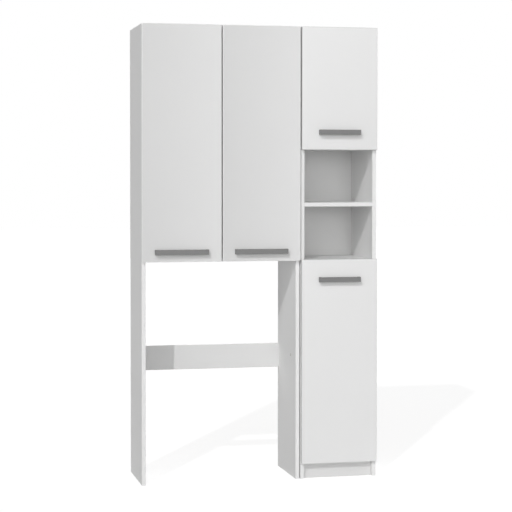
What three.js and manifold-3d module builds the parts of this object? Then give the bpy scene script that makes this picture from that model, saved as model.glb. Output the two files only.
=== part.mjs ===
// A tall bathroom cabinet of two modules side by side: a wide one with two doors over an open bay,
// and a narrow column with an upper door, two niches, a lower door and a plinth. A narrow gap parts them.
// Millimetres, +Z up, the front faces -Y, and the origin is at the centre of the footprint.

import * as THREE from 'three';
import { mergeVertices } from 'three/addons/utils/BufferGeometryUtils.js';
import Module from 'manifold-3d';

const wasm = await Module();
wasm.setup();

// Overall sizes
const height = 1815;
const mainWidth = 640;
const columnWidth = 316;
const moduleGap = 4;
const carcassDepth = 300;

// Boards
const boardThickness = 16;
const backThickness = 3;
const doorThickness = 16;
const doorGap = 2;

// Doors: how far they stay in from their module's outer sides, and the gap between the two wide ones
const doorMargin = 1;
const doorMeeting = 5;

// Heights: the bay, the step up from its top to the niche floor, the plinth and the column's upper door
const bayHeight = 880;
const nicheFloorStep = 4;
const plinthHeight = 62;
const upperDoorHeight = 491;

// Inside the carcass
const plinthRecess = 15;
const railHeight = 100;
const railUnderside = 420;
const shelfSetback = 20;
const shelfSideClearance = 0.5;
const mainShelfCount = 2;
const columnUpperShelfCount = 1;
const columnLowerShelfCount = 2;

// Shelf pins and the holes that hold them
const pinRadius = 2.5;
const pinInPanel = 8;
const pinUnderShelf = 9;
const pinFromEdge = 40;
const pinBite = 0.6;

// Handles
const handleHeight = 20;
const handleThickness = 6;
const handleProjection = 22;
const handleLegWidth = 10;
const handleCorner = 1.5;
const mainHandleLength = 213;
const columnHandleLength = 170;
const mainHandleShift = -3;
const columnHandleShift = -2;
const mainHandleRise = 39.5;
const upperHandleRise = 70;
const lowerHandleDrop = 80.5;

// Concealed hinges: the cup sits in the door, the arm on the side panel
const hingeFromDoorEnd = 100;
const cupRadius = 17.5;
const cupDepth = 12;
const cupWall = 1;
const cupFromSide = 22;
const cheekThickness = 1.5;
const cheekLength = 10;
const cheekBelowMouth = 0.5;
const flangeThickness = 1;
const flangeRim = 0.5;
const wingLength = 64;
const wingWidth = 15;
const wingOffset = 6;
const plateLength = 52;
const plateDepth = 34;
const plateSetback = 22;
const plateThickness = 2.5;
const armWidth = 13;
const armThickness = 8;
const armEnd = 60;
const armCheek = 2;
const noseRadius = 3.8;
const hingePinRadius = 2;
const leverWall = 1.5;
const leverEyeRadius = 3.6;
const leverTipRadius = 2;

// Fittings
const bracketWidth = 30;
const bracketLeg = 40;
const bracketThickness = 2;
const boltRadius = 2.5;
const boltHeadRadius = 6;
const boltHeadHeight = 1.5;
const boltSetback = 80;
const spacerRadius = 6;

// Clearances
const looseFit = 0.3;
const overrun = 1;
const mergeTolerance = 0.0001;

// Round pieces: number of sides
const cupSides = 24;
const smallSides = 12;
const shelfPinSides = 8;
const curveSteps = 6;
const cornerSteps = 3;

// Brackets along the wide module's width, as shares of it
const bracketShares = [0.16, 0.84];

// Joining bolts up the bay and behind the column's upper door, as shares of those two heights
const bayBoltShares = [0.56];
const upperBoltShares = [0.19, 0.67];

// Places in the hinge cup, as shares of its radius across and of its depth down from the door's face
const hingePinShares = [0.57, 0.27];
const leverTipShares = [-0.49, 0.21];
const leverBendShares = [[0.35, 0.58], [-0.26, 0.92]];

// Worked-out sizes
const panelDepth = carcassDepth - backThickness;
const nicheFloorTop = bayHeight + nicheFloorStep;
const nicheTopUnderside = height - upperDoorHeight;
const columnLeft = mainWidth + moduleGap;
const totalWidth = columnLeft + columnWidth;
const mainDoorWidth = (mainWidth - 2 * doorMargin - doorMeeting) / 2;
const columnDoorWidth = columnWidth - 2 * doorMargin;
const doorBack = -doorGap;
const doorFront = -doorGap - doorThickness;
const frontReach = handleProjection - doorFront;
const boltHeights = [
  ...bayBoltShares.map((share) => share * bayHeight),
  ...upperBoltShares.map((share) => nicheTopUnderside + share * upperDoorHeight),
];

const white = 0xf3f3f2;
const boardMaterial = new THREE.MeshStandardMaterial({ color: white, roughness: 0.45, metalness: 0 });
const doorMaterial = new THREE.MeshStandardMaterial({ color: white, roughness: 0.35, metalness: 0 });
const backMaterial = new THREE.MeshStandardMaterial({ color: 0xe9e9e8, roughness: 0.6, metalness: 0 });
const handleMaterial = new THREE.MeshStandardMaterial({ color: 0x85878a, roughness: 0.45, metalness: 0.2 });
const steelMaterial = new THREE.MeshStandardMaterial({ color: 0xb9bbbd, roughness: 0.3, metalness: 1 });

// Turns a closed geometry into a solid that can be joined and cut.
function solidOf(geometry) {
  const bare = geometry.clone();
  for (const name of Object.keys(bare.attributes)) {
    if (name !== 'position') bare.deleteAttribute(name);
  }
  const merged = mergeVertices(bare, mergeTolerance);
  const mesh = new wasm.Mesh({
    numProp: 3,
    vertProperties: new Float32Array(merged.attributes.position.array),
    triVerts: new Uint32Array(merged.index.array),
  });
  return new wasm.Manifold(mesh);
}

// Turns a solid back into a geometry.
function geometryOf(solid) {
  const mesh = solid.getMesh();
  const geometry = new THREE.BufferGeometry();
  geometry.setAttribute('position', new THREE.BufferAttribute(mesh.vertProperties, 3));
  geometry.setIndex(new THREE.BufferAttribute(mesh.triVerts, 1));
  geometry.computeVertexNormals();
  return geometry;
}

// Joins the first list of geometries and cuts the second list from them.
function shaped(added, removed = []) {
  const body = added.map(solidOf).reduce((sum, next) => sum.add(next));
  return geometryOf(removed.map(solidOf).reduce((rest, next) => rest.subtract(next), body));
}

// The mirror image in X, with its faces still pointing out.
function mirrored(geometry) {
  const copy = geometry.clone();
  const position = copy.attributes.position;
  for (let i = 0; i < position.count; i += 1) position.setX(i, -position.getX(i));
  if (copy.index === null) copy.setIndex([...Array(position.count).keys()]);
  const index = copy.index;
  for (let i = 0; i < index.count; i += 3) {
    const second = index.getX(i + 1);
    index.setX(i + 1, index.getX(i + 2));
    index.setX(i + 2, second);
  }
  copy.computeVertexNormals();
  return copy;
}

// A box between two corners.
function box(low, high) {
  const size = high.map((value, i) => value - low[i]);
  const middle = high.map((value, i) => (value + low[i]) / 2);
  return new THREE.BoxGeometry(...size).translate(...middle);
}

// A round bar along X, Y or Z between two places on that axis.
function bar(radius, from, to, axis, centre, sides = smallSides) {
  const geometry = new THREE.CylinderGeometry(radius, radius, to - from, sides);
  if (axis === 'x') geometry.rotateZ(-Math.PI / 2);
  if (axis === 'z') geometry.rotateX(Math.PI / 2);
  const middle = (from + to) / 2;
  const place = { x: [middle, ...centre], y: [centre[0], middle, centre[1]], z: [...centre, middle] }[axis];
  return geometry.translate(...place);
}

// A flat outline in X and Y, raised along Z and centred on it.
function raised(outline, thickness) {
  const options = { depth: thickness, bevelEnabled: false, curveSegments: curveSteps };
  return new THREE.ExtrudeGeometry(outline, options).translate(0, 0, -thickness / 2);
}

function named(name, geometry, material) {
  const mesh = new THREE.Mesh(geometry, material);
  mesh.name = name;
  return mesh;
}

// The undersides of evenly spaced shelves in a compartment.
function shelfHeights(floor, ceiling, count) {
  const space = (ceiling - floor - count * boardThickness) / (count + 1);
  return Array.from({ length: count }, (_, i) => floor + space + i * (space + boardThickness));
}

// The front and the rear pin of a shelf, as distances behind the carcass front.
const pinDepths = [shelfSetback + pinFromEdge, panelDepth - pinFromEdge];

// A pin just under a shelf: its centre is a little nearer than its radius, so it is one with the shelf.
const pinCentreHeight = (shelfUnderside) => shelfUnderside - pinRadius + pinBite;

// A loose shelf with the four pins that carry it, between two side panels.
function shelf(width, underside) {
  const left = boardThickness + shelfSideClearance;
  const right = width - left;
  const rear = panelDepth - shelfSideClearance;
  const board = box([left, shelfSetback, underside], [right, rear, underside + boardThickness]);
  const ends = [
    [boardThickness - pinInPanel, left + pinUnderShelf],
    [right - pinUnderShelf, width - boardThickness + pinInPanel],
  ];
  const pins = ends.flatMap(([from, to]) =>
    pinDepths.map((depth) =>
      bar(pinRadius, from, to, 'x', [depth, pinCentreHeight(underside)], shelfPinSides)));
  return shaped([board, ...pins]);
}

// An upright side panel, from the floor to the top, with the pin holes of its shelves and any bolt holes.
// The panel's inner face looks along +X when facing is 1, and along -X when it is -1.
function sidePanel(outer, facing, shelves, bolts) {
  const inner = outer + facing * boardThickness;
  const low = Math.min(outer, inner);
  const high = Math.max(outer, inner);
  const bottom = inner - facing * (pinInPanel + looseFit);
  const mouth = inner + facing * overrun;
  const pinHoles = shelves.flatMap((underside) =>
    pinDepths.map((depth) =>
      bar(pinRadius + looseFit, Math.min(bottom, mouth), Math.max(bottom, mouth), 'x',
        [depth, pinCentreHeight(underside)], shelfPinSides)));
  const boltHoles = bolts.map((z) =>
    bar(boltRadius + looseFit, low - overrun, high + overrun, 'x', [boltSetback, z]));
  return shaped([box([low, 0, 0], [high, panelDepth, height])], [...pinHoles, ...boltHoles]);
}

// A board that lies between the two side panels of a module.
function crossBoard(width, front, rear, underside, tall = boardThickness) {
  return box([boardThickness, front, underside], [width - boardThickness, rear, underside + tall]);
}

// A flat door with the two cup holes along its hinge side. X runs from the outer face of the side panel
// that carries it to the door's free edge.
function door(width, low, high, cupHeights) {
  const blank = box([doorMargin, doorFront, low], [doorMargin + width, doorBack, high]);
  const bottom = doorBack - cupDepth - looseFit;
  const holes = cupHeights.map((z) =>
    bar(cupRadius + looseFit, bottom, doorBack + overrun, 'y', [cupFromSide, z], cupSides));
  return shaped([blank], holes);
}

// A bow handle seen from above: a flat bar whose ends turn back to the door.
function handle(length) {
  const half = length / 2;
  const legInner = half - handleLegWidth;
  const front = doorFront - handleProjection;
  const behind = front + handleThickness;
  const outline = new THREE.Shape();
  outline.moveTo(-half, doorFront);
  outline.lineTo(-half, front + handleCorner);
  outline.quadraticCurveTo(-half, front, -half + handleCorner, front);
  outline.lineTo(half - handleCorner, front);
  outline.quadraticCurveTo(half, front, half, front + handleCorner);
  outline.lineTo(half, doorFront);
  outline.lineTo(legInner, doorFront);
  outline.lineTo(legInner, behind);
  outline.lineTo(-legInner, behind);
  outline.lineTo(-legInner, doorFront);
  const options = { depth: handleHeight, bevelEnabled: false, curveSegments: cornerSteps };
  return new THREE.ExtrudeGeometry(outline, options).translate(0, 0, -handleHeight / 2);
}

// The hinge is drawn from above, for a door that hangs on the left: X from the outer face of the side
// panel, Y from the carcass front. Its pin and its lever follow the cup.
function inCup([across, down]) {
  return new THREE.Vector2(cupFromSide + across * cupRadius, doorBack - down * cupDepth);
}

const hingePin = inCup(hingePinShares);
const leverTip = inCup(leverTipShares);
const leverCurve = new THREE.CubicBezierCurve(hingePin, ...leverBendShares.map(inCup), leverTip);
const leverWidth = armWidth - 2 * armCheek - 2 * looseFit;

// The pressed cup with its two screw wings, open towards the cabinet. Two cheeks inside it guide the lever's
// end from both sides.
function hingeCup() {
  const bottom = doorBack - cupDepth;
  const top = doorBack + flangeThickness;
  const inner = cupRadius - cupWall;
  const rim = cupRadius + flangeRim;
  const profile = [
    [0, bottom], [cupRadius, bottom], [cupRadius, doorBack + looseFit], [rim, doorBack + looseFit],
    [rim, top], [inner, top], [inner, bottom + cupWall], [0, bottom + cupWall],
  ].map(([radius, depth]) => new THREE.Vector2(radius, depth));
  const cup = new THREE.LatheGeometry(profile, cupSides).translate(cupFromSide, 0, 0);
  const wingMiddle = cupFromSide + wingOffset;
  const wings = box(
    [wingMiddle - wingWidth / 2, doorBack + looseFit, -wingLength / 2],
    [wingMiddle + wingWidth / 2, top, wingLength / 2],
  );
  const mouth = bar(inner, bottom + cupWall, top + overrun, 'y', [cupFromSide, 0], cupSides);
  const cheeks = [-1, 1].map((side) => {
    const near = side * (leverWidth / 2 + looseFit);
    const far = near + side * cheekThickness;
    return box(
      [leverTip.x - cheekLength / 2, bottom + cupWall / 2, Math.min(near, far)],
      [leverTip.x + cheekLength / 2, doorBack - cheekBelowMouth, Math.max(near, far)],
    );
  });
  return shaped([cup, shaped([wings], [mouth]), ...cheeks]);
}

// The arm with its mounting plate and the pin that the lever turns on, screwed to the side panel.
function hingeArm() {
  const seat = boardThickness;
  const under = seat + plateThickness;
  const over = under + armThickness;
  const outline = new THREE.Shape();
  outline.moveTo(under - overrun, armEnd);
  outline.lineTo(under - overrun, armEnd - plateDepth - armThickness);
  outline.lineTo(hingePin.x - noseRadius, armThickness / 2);
  outline.lineTo(hingePin.x - noseRadius, hingePin.y);
  outline.absarc(hingePin.x, hingePin.y, noseRadius, Math.PI, 2 * Math.PI, false);
  outline.lineTo(hingePin.x + noseRadius, armThickness / 2);
  outline.lineTo(over, armEnd - plateDepth);
  outline.lineTo(over, armEnd);
  const plate = box(
    [seat, plateSetback, -plateLength / 2],
    [under, plateSetback + plateDepth, plateLength / 2],
  );
  const slotHalf = armWidth / 2 - armCheek;
  const slot = box(
    [hingePin.x - 2 * cupRadius, hingePin.y - cupDepth, -slotHalf],
    [hingePin.x + 2 * noseRadius, hingePin.y + leverEyeRadius + looseFit, slotHalf],
  );
  const pin = bar(hingePinRadius, -armWidth / 2, armWidth / 2, 'z', [hingePin.x, hingePin.y]);
  return shaped([shaped([raised(outline, armWidth), plate], [slot]), pin]);
}

// The bent lever between the arm's pin and the cup.
function hingeLever() {
  const points = leverCurve.getPoints(curveSteps);
  const sides = points.map((_, i) => {
    const along = leverCurve.getTangent(i / curveSteps);
    return new THREE.Vector2(-along.y, along.x).multiplyScalar(leverWall);
  });
  const left = points.map((point, i) => point.clone().add(sides[i]));
  const right = points.map((point, i) => point.clone().sub(sides[i])).reverse();
  const strip = raised(new THREE.Shape([...left, ...right]), leverWidth);
  const eye = bar(leverEyeRadius, -leverWidth / 2, leverWidth / 2, 'z', [hingePin.x, hingePin.y]);
  const tip = bar(leverTipRadius, -leverWidth / 2, leverWidth / 2, 'z', [leverTip.x, leverTip.y]);
  const hole = bar(hingePinRadius + looseFit, -armWidth, armWidth, 'z', [hingePin.x, hingePin.y]);
  return shaped([strip, eye, tip], [hole]);
}

// A steel angle under the top panel, screwed to it and through the back panel to the wall.
function wallBracket(centre) {
  const ceiling = height - boardThickness;
  const outline = new THREE.Shape();
  outline.moveTo(panelDepth, ceiling);
  outline.lineTo(panelDepth - bracketLeg, ceiling);
  outline.lineTo(panelDepth - bracketLeg, ceiling - bracketThickness);
  outline.lineTo(panelDepth - bracketThickness, ceiling - bracketThickness);
  outline.lineTo(panelDepth - bracketThickness, ceiling - bracketLeg);
  outline.lineTo(panelDepth, ceiling - bracketLeg);
  const angle = raised(outline, bracketWidth);
  angle.rotateY(Math.PI / 2).rotateX(Math.PI / 2);
  return angle.translate(centre, 0, 0);
}

// A sleeve bolt through the two neighbouring side panels, with a flat head on each side and a spacer between
// the panels.
function joiningBolt(z) {
  const spacerEnd = moduleGap / 2 - looseFit;
  const headSeat = moduleGap / 2 + boardThickness + looseFit;
  const end = headSeat + boltHeadHeight;
  const half = [
    [spacerRadius, spacerEnd], [boltRadius, spacerEnd], [boltRadius, headSeat], [boltHeadRadius, headSeat],
    [boltHeadRadius, end], [0, end],
  ].map(([radius, x]) => new THREE.Vector2(radius, x));
  const otherHalf = half.map(({ x, y }) => new THREE.Vector2(x, -y)).reverse();
  const bolt = new THREE.LatheGeometry([...otherHalf, ...half], smallSides).rotateZ(-Math.PI / 2);
  return bolt.translate(mainWidth + moduleGap / 2, boltSetback, z);
}

// A door with its handle and the two hinges, hung on the left or on the right side of its opening.
function hungDoor(name, options) {
  const { low, high, width, hingeX, rightHung, handleLength, handleZ, handleShift } = options;
  const group = new THREE.Group();
  group.position.x = hingeX;
  const turn = rightHung ? mirrored : (geometry) => geometry;
  const facing = rightHung ? -1 : 1;
  const cupHeights = [low + hingeFromDoorEnd, high - hingeFromDoorEnd];
  group.add(named(`${name}_door`, turn(door(width, low, high, cupHeights)), doorMaterial));
  const grip = named(`${name}_handle`, handle(handleLength), handleMaterial);
  grip.position.set(facing * (doorMargin + width / 2) + handleShift, 0, handleZ);
  group.add(grip);
  cupHeights.forEach((z, i) => {
    const place = ['lower', 'upper'][i];
    const pieces = { cup: hingeCup(), arm: hingeArm(), lever: hingeLever() };
    for (const [piece, geometry] of Object.entries(pieces)) {
      const mesh = named(`${name}_hinge_${place}_${piece}`, turn(geometry), steelMaterial);
      mesh.position.z = z;
      group.add(mesh);
    }
  });
  return group;
}

// The wide module: two doors above, an open bay below.
function mainModule() {
  const group = new THREE.Group();
  const ceiling = height - boardThickness;
  const railFront = panelDepth - boardThickness;
  const rail = crossBoard(mainWidth, railFront, panelDepth, railUnderside, railHeight);
  const shelves = shelfHeights(bayHeight + boardThickness, ceiling, mainShelfCount);
  group.add(
    named('main_left_side', sidePanel(0, 1, shelves, []), boardMaterial),
    named('main_right_side', sidePanel(mainWidth, -1, shelves, boltHeights), boardMaterial),
    named('main_top', crossBoard(mainWidth, 0, panelDepth, ceiling), boardMaterial),
    named('main_bottom', crossBoard(mainWidth, 0, panelDepth, bayHeight), boardMaterial),
    named('main_rear_rail', rail, boardMaterial),
    named('main_back', box([0, panelDepth, bayHeight], [mainWidth, carcassDepth, height]), backMaterial),
  );
  shelves.forEach((z, i) => group.add(named(`main_shelf_${i + 1}`, shelf(mainWidth, z), boardMaterial)));
  const leaf = {
    low: bayHeight,
    high: height,
    width: mainDoorWidth,
    handleLength: mainHandleLength,
    handleZ: bayHeight + mainHandleRise,
    handleShift: mainHandleShift,
  };
  group.add(hungDoor('main_left', { ...leaf, hingeX: 0, rightHung: false }));
  group.add(hungDoor('main_right', { ...leaf, hingeX: mainWidth, rightHung: true }));
  bracketShares.forEach((share, i) =>
    group.add(named(`wall_bracket_${i + 1}`, wallBracket(share * mainWidth), steelMaterial)));
  return group;
}

// The narrow column: a door, two niches, a door and a plinth.
function columnModule() {
  const group = new THREE.Group();
  const ceiling = height - boardThickness;
  const nicheFloor = nicheFloorTop - boardThickness;
  const nicheMiddle = (nicheFloorTop + nicheTopUnderside - boardThickness) / 2;
  const upperShelves = shelfHeights(nicheTopUnderside + boardThickness, ceiling, columnUpperShelfCount);
  const lowerShelves = shelfHeights(plinthHeight + boardThickness, nicheFloor, columnLowerShelfCount);
  const shelves = [...lowerShelves, ...upperShelves];
  const plinthRear = plinthRecess + boardThickness;
  const back = box([0, panelDepth, plinthHeight], [columnWidth, carcassDepth, height]);
  const fixedBoards = {
    column_top: ceiling,
    niche_top: nicheTopUnderside,
    niche_shelf: nicheMiddle,
    niche_floor: nicheFloor,
    column_bottom: plinthHeight,
  };
  for (const [name, z] of Object.entries(fixedBoards)) {
    group.add(named(name, crossBoard(columnWidth, 0, panelDepth, z), boardMaterial));
  }
  group.add(
    named('column_left_side', sidePanel(0, 1, shelves, boltHeights), boardMaterial),
    named('column_right_side', sidePanel(columnWidth, -1, shelves, []), boardMaterial),
    named('column_plinth', crossBoard(columnWidth, plinthRecess, plinthRear, 0, plinthHeight), boardMaterial),
    named('column_back', back, backMaterial),
  );
  shelves.forEach((z, i) => group.add(named(`column_shelf_${i + 1}`, shelf(columnWidth, z), boardMaterial)));
  const leaf = {
    width: columnDoorWidth,
    hingeX: columnWidth,
    rightHung: true,
    handleLength: columnHandleLength,
    handleShift: columnHandleShift,
  };
  group.add(hungDoor('column_upper', {
    ...leaf, low: nicheTopUnderside, high: height, handleZ: nicheTopUnderside + upperHandleRise,
  }));
  group.add(hungDoor('column_lower', {
    ...leaf, low: plinthHeight, high: nicheFloorTop, handleZ: nicheFloorTop - lowerHandleDrop,
  }));
  group.add(named('wall_bracket_3', wallBracket(columnWidth / 2), steelMaterial));
  return group;
}

const cabinet = new THREE.Group();
cabinet.position.set(-totalWidth / 2, (frontReach - carcassDepth) / 2, 0);
cabinet.add(mainModule());
const column = columnModule();
column.position.x = columnLeft;
cabinet.add(column);
boltHeights.forEach((z, i) => cabinet.add(named(`joining_bolt_${i + 1}`, joiningBolt(z), steelMaterial)));

export default cabinet;
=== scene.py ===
"""A tall white bathroom cabinet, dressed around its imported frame.

The wide module carries two doors over an open bay. The narrow column beside it has an upper door, two
niches, a lower door and a plinth. Every piece is a mesh in metres that takes its place from the frame's own
solids, stands for them and rides on their bodies.
"""

import logging
import math
from dataclasses import dataclass, replace
from enum import Enum, IntEnum
from typing import Callable, Iterable, Sequence, Union

import bmesh
import bpy
from mathutils import Matrix, Vector


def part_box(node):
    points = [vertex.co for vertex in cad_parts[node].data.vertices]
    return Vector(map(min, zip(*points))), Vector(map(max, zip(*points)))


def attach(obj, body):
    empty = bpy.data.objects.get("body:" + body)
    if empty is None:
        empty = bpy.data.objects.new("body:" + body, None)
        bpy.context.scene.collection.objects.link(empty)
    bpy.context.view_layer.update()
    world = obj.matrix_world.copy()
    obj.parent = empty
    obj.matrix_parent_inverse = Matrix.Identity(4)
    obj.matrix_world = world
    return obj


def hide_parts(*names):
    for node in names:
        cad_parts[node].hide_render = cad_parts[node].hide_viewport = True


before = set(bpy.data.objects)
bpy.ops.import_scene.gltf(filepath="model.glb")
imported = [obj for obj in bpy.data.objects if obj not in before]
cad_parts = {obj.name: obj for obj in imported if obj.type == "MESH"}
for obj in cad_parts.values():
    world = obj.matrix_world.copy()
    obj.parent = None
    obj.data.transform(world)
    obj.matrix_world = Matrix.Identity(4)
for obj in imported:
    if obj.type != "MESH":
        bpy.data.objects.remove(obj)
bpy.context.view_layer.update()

FIXED_BODY = "cabinet"
BOARD_THICKNESS = 0.016
SHARP_ANGLE = math.radians(32)
LEAST_BEVEL_ANGLE = math.radians(20)
LEAST_FACING = 0.9
WELD_DISTANCE = 1e-7
WHITE = (1.0, 1.0, 1.0, 1.0)

log = logging.getLogger("cabinet")

Colour = tuple[float, float, float]
Place = tuple[float, float]
Shades = tuple[tuple[float, float], ...]
Value = Union[float, Sequence[float], bpy.types.NodeSocket]
FaceTest = Callable[[bmesh.types.BMFace], bool]


class Plane(Enum):
    """The flat plane that an outline is drawn in, as the axes of its first, second and raised direction."""

    XY = (0, 1, 2)
    XZ = (0, 2, 1)
    YZ = (1, 2, 0)

    def point(self, first: float, second: float, raised: float) -> Vector:
        """Turns a place on the plane into a place in space.

        Args:
            first: distance along the plane's first axis.
            second: distance along its second axis.
            raised: height over the plane.

        Returns:
            The place in metres.
        """
        place = Vector((0.0, 0.0, 0.0))
        for axis, distance in zip(self.value, (first, second, raised)):
            place[axis] = distance
        return place


class Side(Enum):
    """The six sides of a board, as an axis and the way along it."""

    LEFT = (0, -1)
    RIGHT = (0, 1)
    FRONT = (1, -1)
    REAR = (1, 1)
    BOTTOM = (2, -1)
    TOP = (2, 1)

    def normal(self) -> Vector:
        """Finds the direction that this side faces.

        Returns:
            A vector of length 1 that points away from the board.
        """
        axis, way = self.value
        direction = Vector((0.0, 0.0, 0.0))
        direction[axis] = way
        return direction

    def has(self, face: bmesh.types.BMFace) -> bool:
        """Tells whether a face looks the same way as this side."""
        return face.normal.dot(self.normal()) > LEAST_FACING

    def near(self, face: bmesh.types.BMFace, low: Vector, high: Vector, reach: float) -> bool:
        """Tells whether a face of a box lies close behind this side of it.

        Args:
            face: the face to place.
            low: lowest corner of the box.
            high: highest corner of the box.
            reach: how far behind the side its middle may lie.

        Returns:
            Whether it lies that near.
        """
        axis, way = self.value
        surface = high if way > 0 else low
        return abs(surface[axis] - face.calc_center_median()[axis]) < reach


class Hand(IntEnum):
    """The side on which a door hangs. Hinges are drawn for the left and mirrored for the right."""

    LEFT = 1
    RIGHT = -1


class HingePlace(Enum):
    """The two places where a door carries a hinge."""

    LOWER = "lower"
    UPPER = "upper"


class Layer(IntEnum):
    """The finish numbers of a coated board."""

    FACE = 0
    BAND = 1
    RAW = 2


class Metal(IntEnum):
    """The finish numbers of a steel fitting."""

    BODY = 0
    SCREW = 1


class Mix(Enum):
    """How one solid is combined with another."""

    JOIN = "UNION"
    CUT = "DIFFERENCE"


class Graph:
    """The node tree of one material, written from its shader back to its patterns."""

    def __init__(self, name: str) -> None:
        """Starts a material.

        Args:
            name: the material's name.
        """
        self.material = bpy.data.materials.new(name)
        self.material.use_nodes = True
        self.tree = self.material.node_tree
        self.shader = self.tree.nodes["Principled BSDF"]
        self.place = self.tree.nodes.new("ShaderNodeTexCoord").outputs["Object"]

    def put(self, socket: bpy.types.NodeSocket, value: Value) -> None:
        """Links a socket where the value is another socket, and sets it otherwise.

        Args:
            socket: the input to fill.
            value: a number, a colour or an output.
        """
        if isinstance(value, bpy.types.NodeSocket):
            self.tree.links.new(value, socket)
        else:
            socket.default_value = value

    def add(self, kind: str, **inputs: Value) -> bpy.types.Node:
        """Adds a node and fills its inputs.

        Args:
            kind: Blender's name of the node type.
            **inputs: values by input name, with an underscore for each space.

        Returns:
            The new node.
        """
        node = self.tree.nodes.new(kind)
        for name, value in inputs.items():
            self.put(node.inputs[name.replace("_", " ")], value)
        return node

    def stretched(self, scale: Sequence[float]) -> bpy.types.NodeSocket:
        """Returns the object's own coordinates, stretched by a scale on each axis.

        Args:
            scale: three factors.

        Returns:
            The stretched coordinates.
        """
        return self.add("ShaderNodeMapping", Vector=self.place, Scale=scale).outputs["Vector"]

    def noise(
        self, per_metre: float, detail: float = 2.0, where: Value | None = None
    ) -> bpy.types.NodeSocket:
        """Adds a soft noise.

        Args:
            per_metre: number of patches in a metre.
            detail: how many finer layers it has.
            where: coordinates, or None for the object's own.

        Returns:
            The noise, about 0.5 on average.
        """
        place = self.place if where is None else where
        return self.add("ShaderNodeTexNoise", Vector=place, Scale=per_metre, Detail=detail).outputs["Fac"]

    def cells(self, per_metre: float, where: Value, output: str = "Color") -> bpy.types.NodeSocket:
        """Adds a pattern of cells.

        Args:
            per_metre: number of cells in a metre.
            where: the coordinates to use.
            output: Distance, or Color for a random one in each cell.

        Returns:
            The chosen output.
        """
        return self.add("ShaderNodeTexVoronoi", Vector=where, Scale=per_metre).outputs[output]

    def sum(self, first: Value, second: Value) -> bpy.types.NodeSocket:
        """Adds two patterns.

        Args:
            first: one pattern.
            second: the other.

        Returns:
            Their sum.
        """
        return self.reckon("ADD", first, second)

    def product(self, first: Value, second: Value) -> bpy.types.NodeSocket:
        """Multiplies two patterns.

        Args:
            first: one pattern.
            second: the other.

        Returns:
            Their product.
        """
        return self.reckon("MULTIPLY", first, second)

    def reckon(self, operation: str, first: Value, second: Value) -> bpy.types.NodeSocket:
        """Adds a sum or a product of two patterns.

        Args:
            operation: Blender's name of it.
            first: one pattern.
            second: the other.

        Returns:
            The result.
        """
        node = self.tree.nodes.new("ShaderNodeMath")
        node.operation = operation
        self.put(node.inputs[0], first)
        self.put(node.inputs[1], second)
        return node.outputs["Value"]

    def painted_shading(self, painted_shade_lean: Sequence[float]) -> bpy.types.NodeSocket:
        """Adds a painted shading: a slow change of tone from one side of each piece to the other, standing
        in for how light falls on it.

        Args:
            painted_shade_lean: size of the painted shading along each axis.

        Returns:
            The painted shading, from zero at the piece's lowest corner.
        """
        across = self.tree.nodes.new("ShaderNodeTexCoord").outputs["Generated"]
        node = self.tree.nodes.new("ShaderNodeVectorMath")
        node.operation = "DOT_PRODUCT"
        self.put(node.inputs[0], across)
        self.put(node.inputs[1], painted_shade_lean)
        return node.outputs["Value"]

    def between(
        self, source: Value, low: float, high: float, start: float = 0.35, end: float = 0.65
    ) -> bpy.types.NodeSocket:
        """Spreads a pattern over a range of numbers.

        Args:
            source: the pattern.
            low: result where the pattern is at start.
            high: result where the pattern is at end.
            start: pattern value that gives low.
            end: pattern value that gives high.

        Returns:
            The spread pattern.
        """
        node = self.add(
            "ShaderNodeMapRange", Value=source, From_Min=start, From_Max=end, To_Min=low, To_Max=high
        )
        return node.outputs["Result"]

    def ramp(self, source: Value, stops: Sequence[tuple[float, Colour]]) -> bpy.types.NodeSocket:
        """Colours a pattern.

        Args:
            source: the pattern.
            stops: a colour at each of several pattern values.

        Returns:
            The coloured pattern.
        """
        node = self.add("ShaderNodeValToRGB", Fac=source)
        points = node.color_ramp.elements
        while len(points) < len(stops):
            points.new(1.0)
        for point, (position, colour) in zip(points, stops):
            point.position = position
            point.color = (*colour, 1.0)
        return node.outputs["Color"]

    def relief(self, height: Value, depth: float, strength: float, under: Value | None = None) -> Value:
        """Adds a bump.

        Args:
            height: the pattern that raises the surface.
            depth: height of the relief in metres.
            strength: share of it that shows.
            under: a coarser bump to lie on, if any.

        Returns:
            The bent normal.
        """
        node = self.add("ShaderNodeBump", Height=height, Distance=depth, Strength=strength)
        if under is not None:
            self.put(node.inputs["Normal"], under)
        return node.outputs["Normal"]

    def dress(self, **inputs: Value) -> bpy.types.Material:
        """Fills the shader's inputs.

        Args:
            **inputs: values by input name, with an underscore for each space.

        Returns:
            The finished material.
        """
        for name, value in inputs.items():
            self.put(self.shader.inputs[name.replace("_", " ")], value)
        return self.material


def toned(colour: Colour, factor: float) -> Colour:
    """Makes a colour lighter or darker.

    Args:
        colour: the colour to start from.
        factor: above 1 for lighter.

    Returns:
        The new colour.
    """
    return tuple(min(1.0, part * factor) for part in colour)


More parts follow.
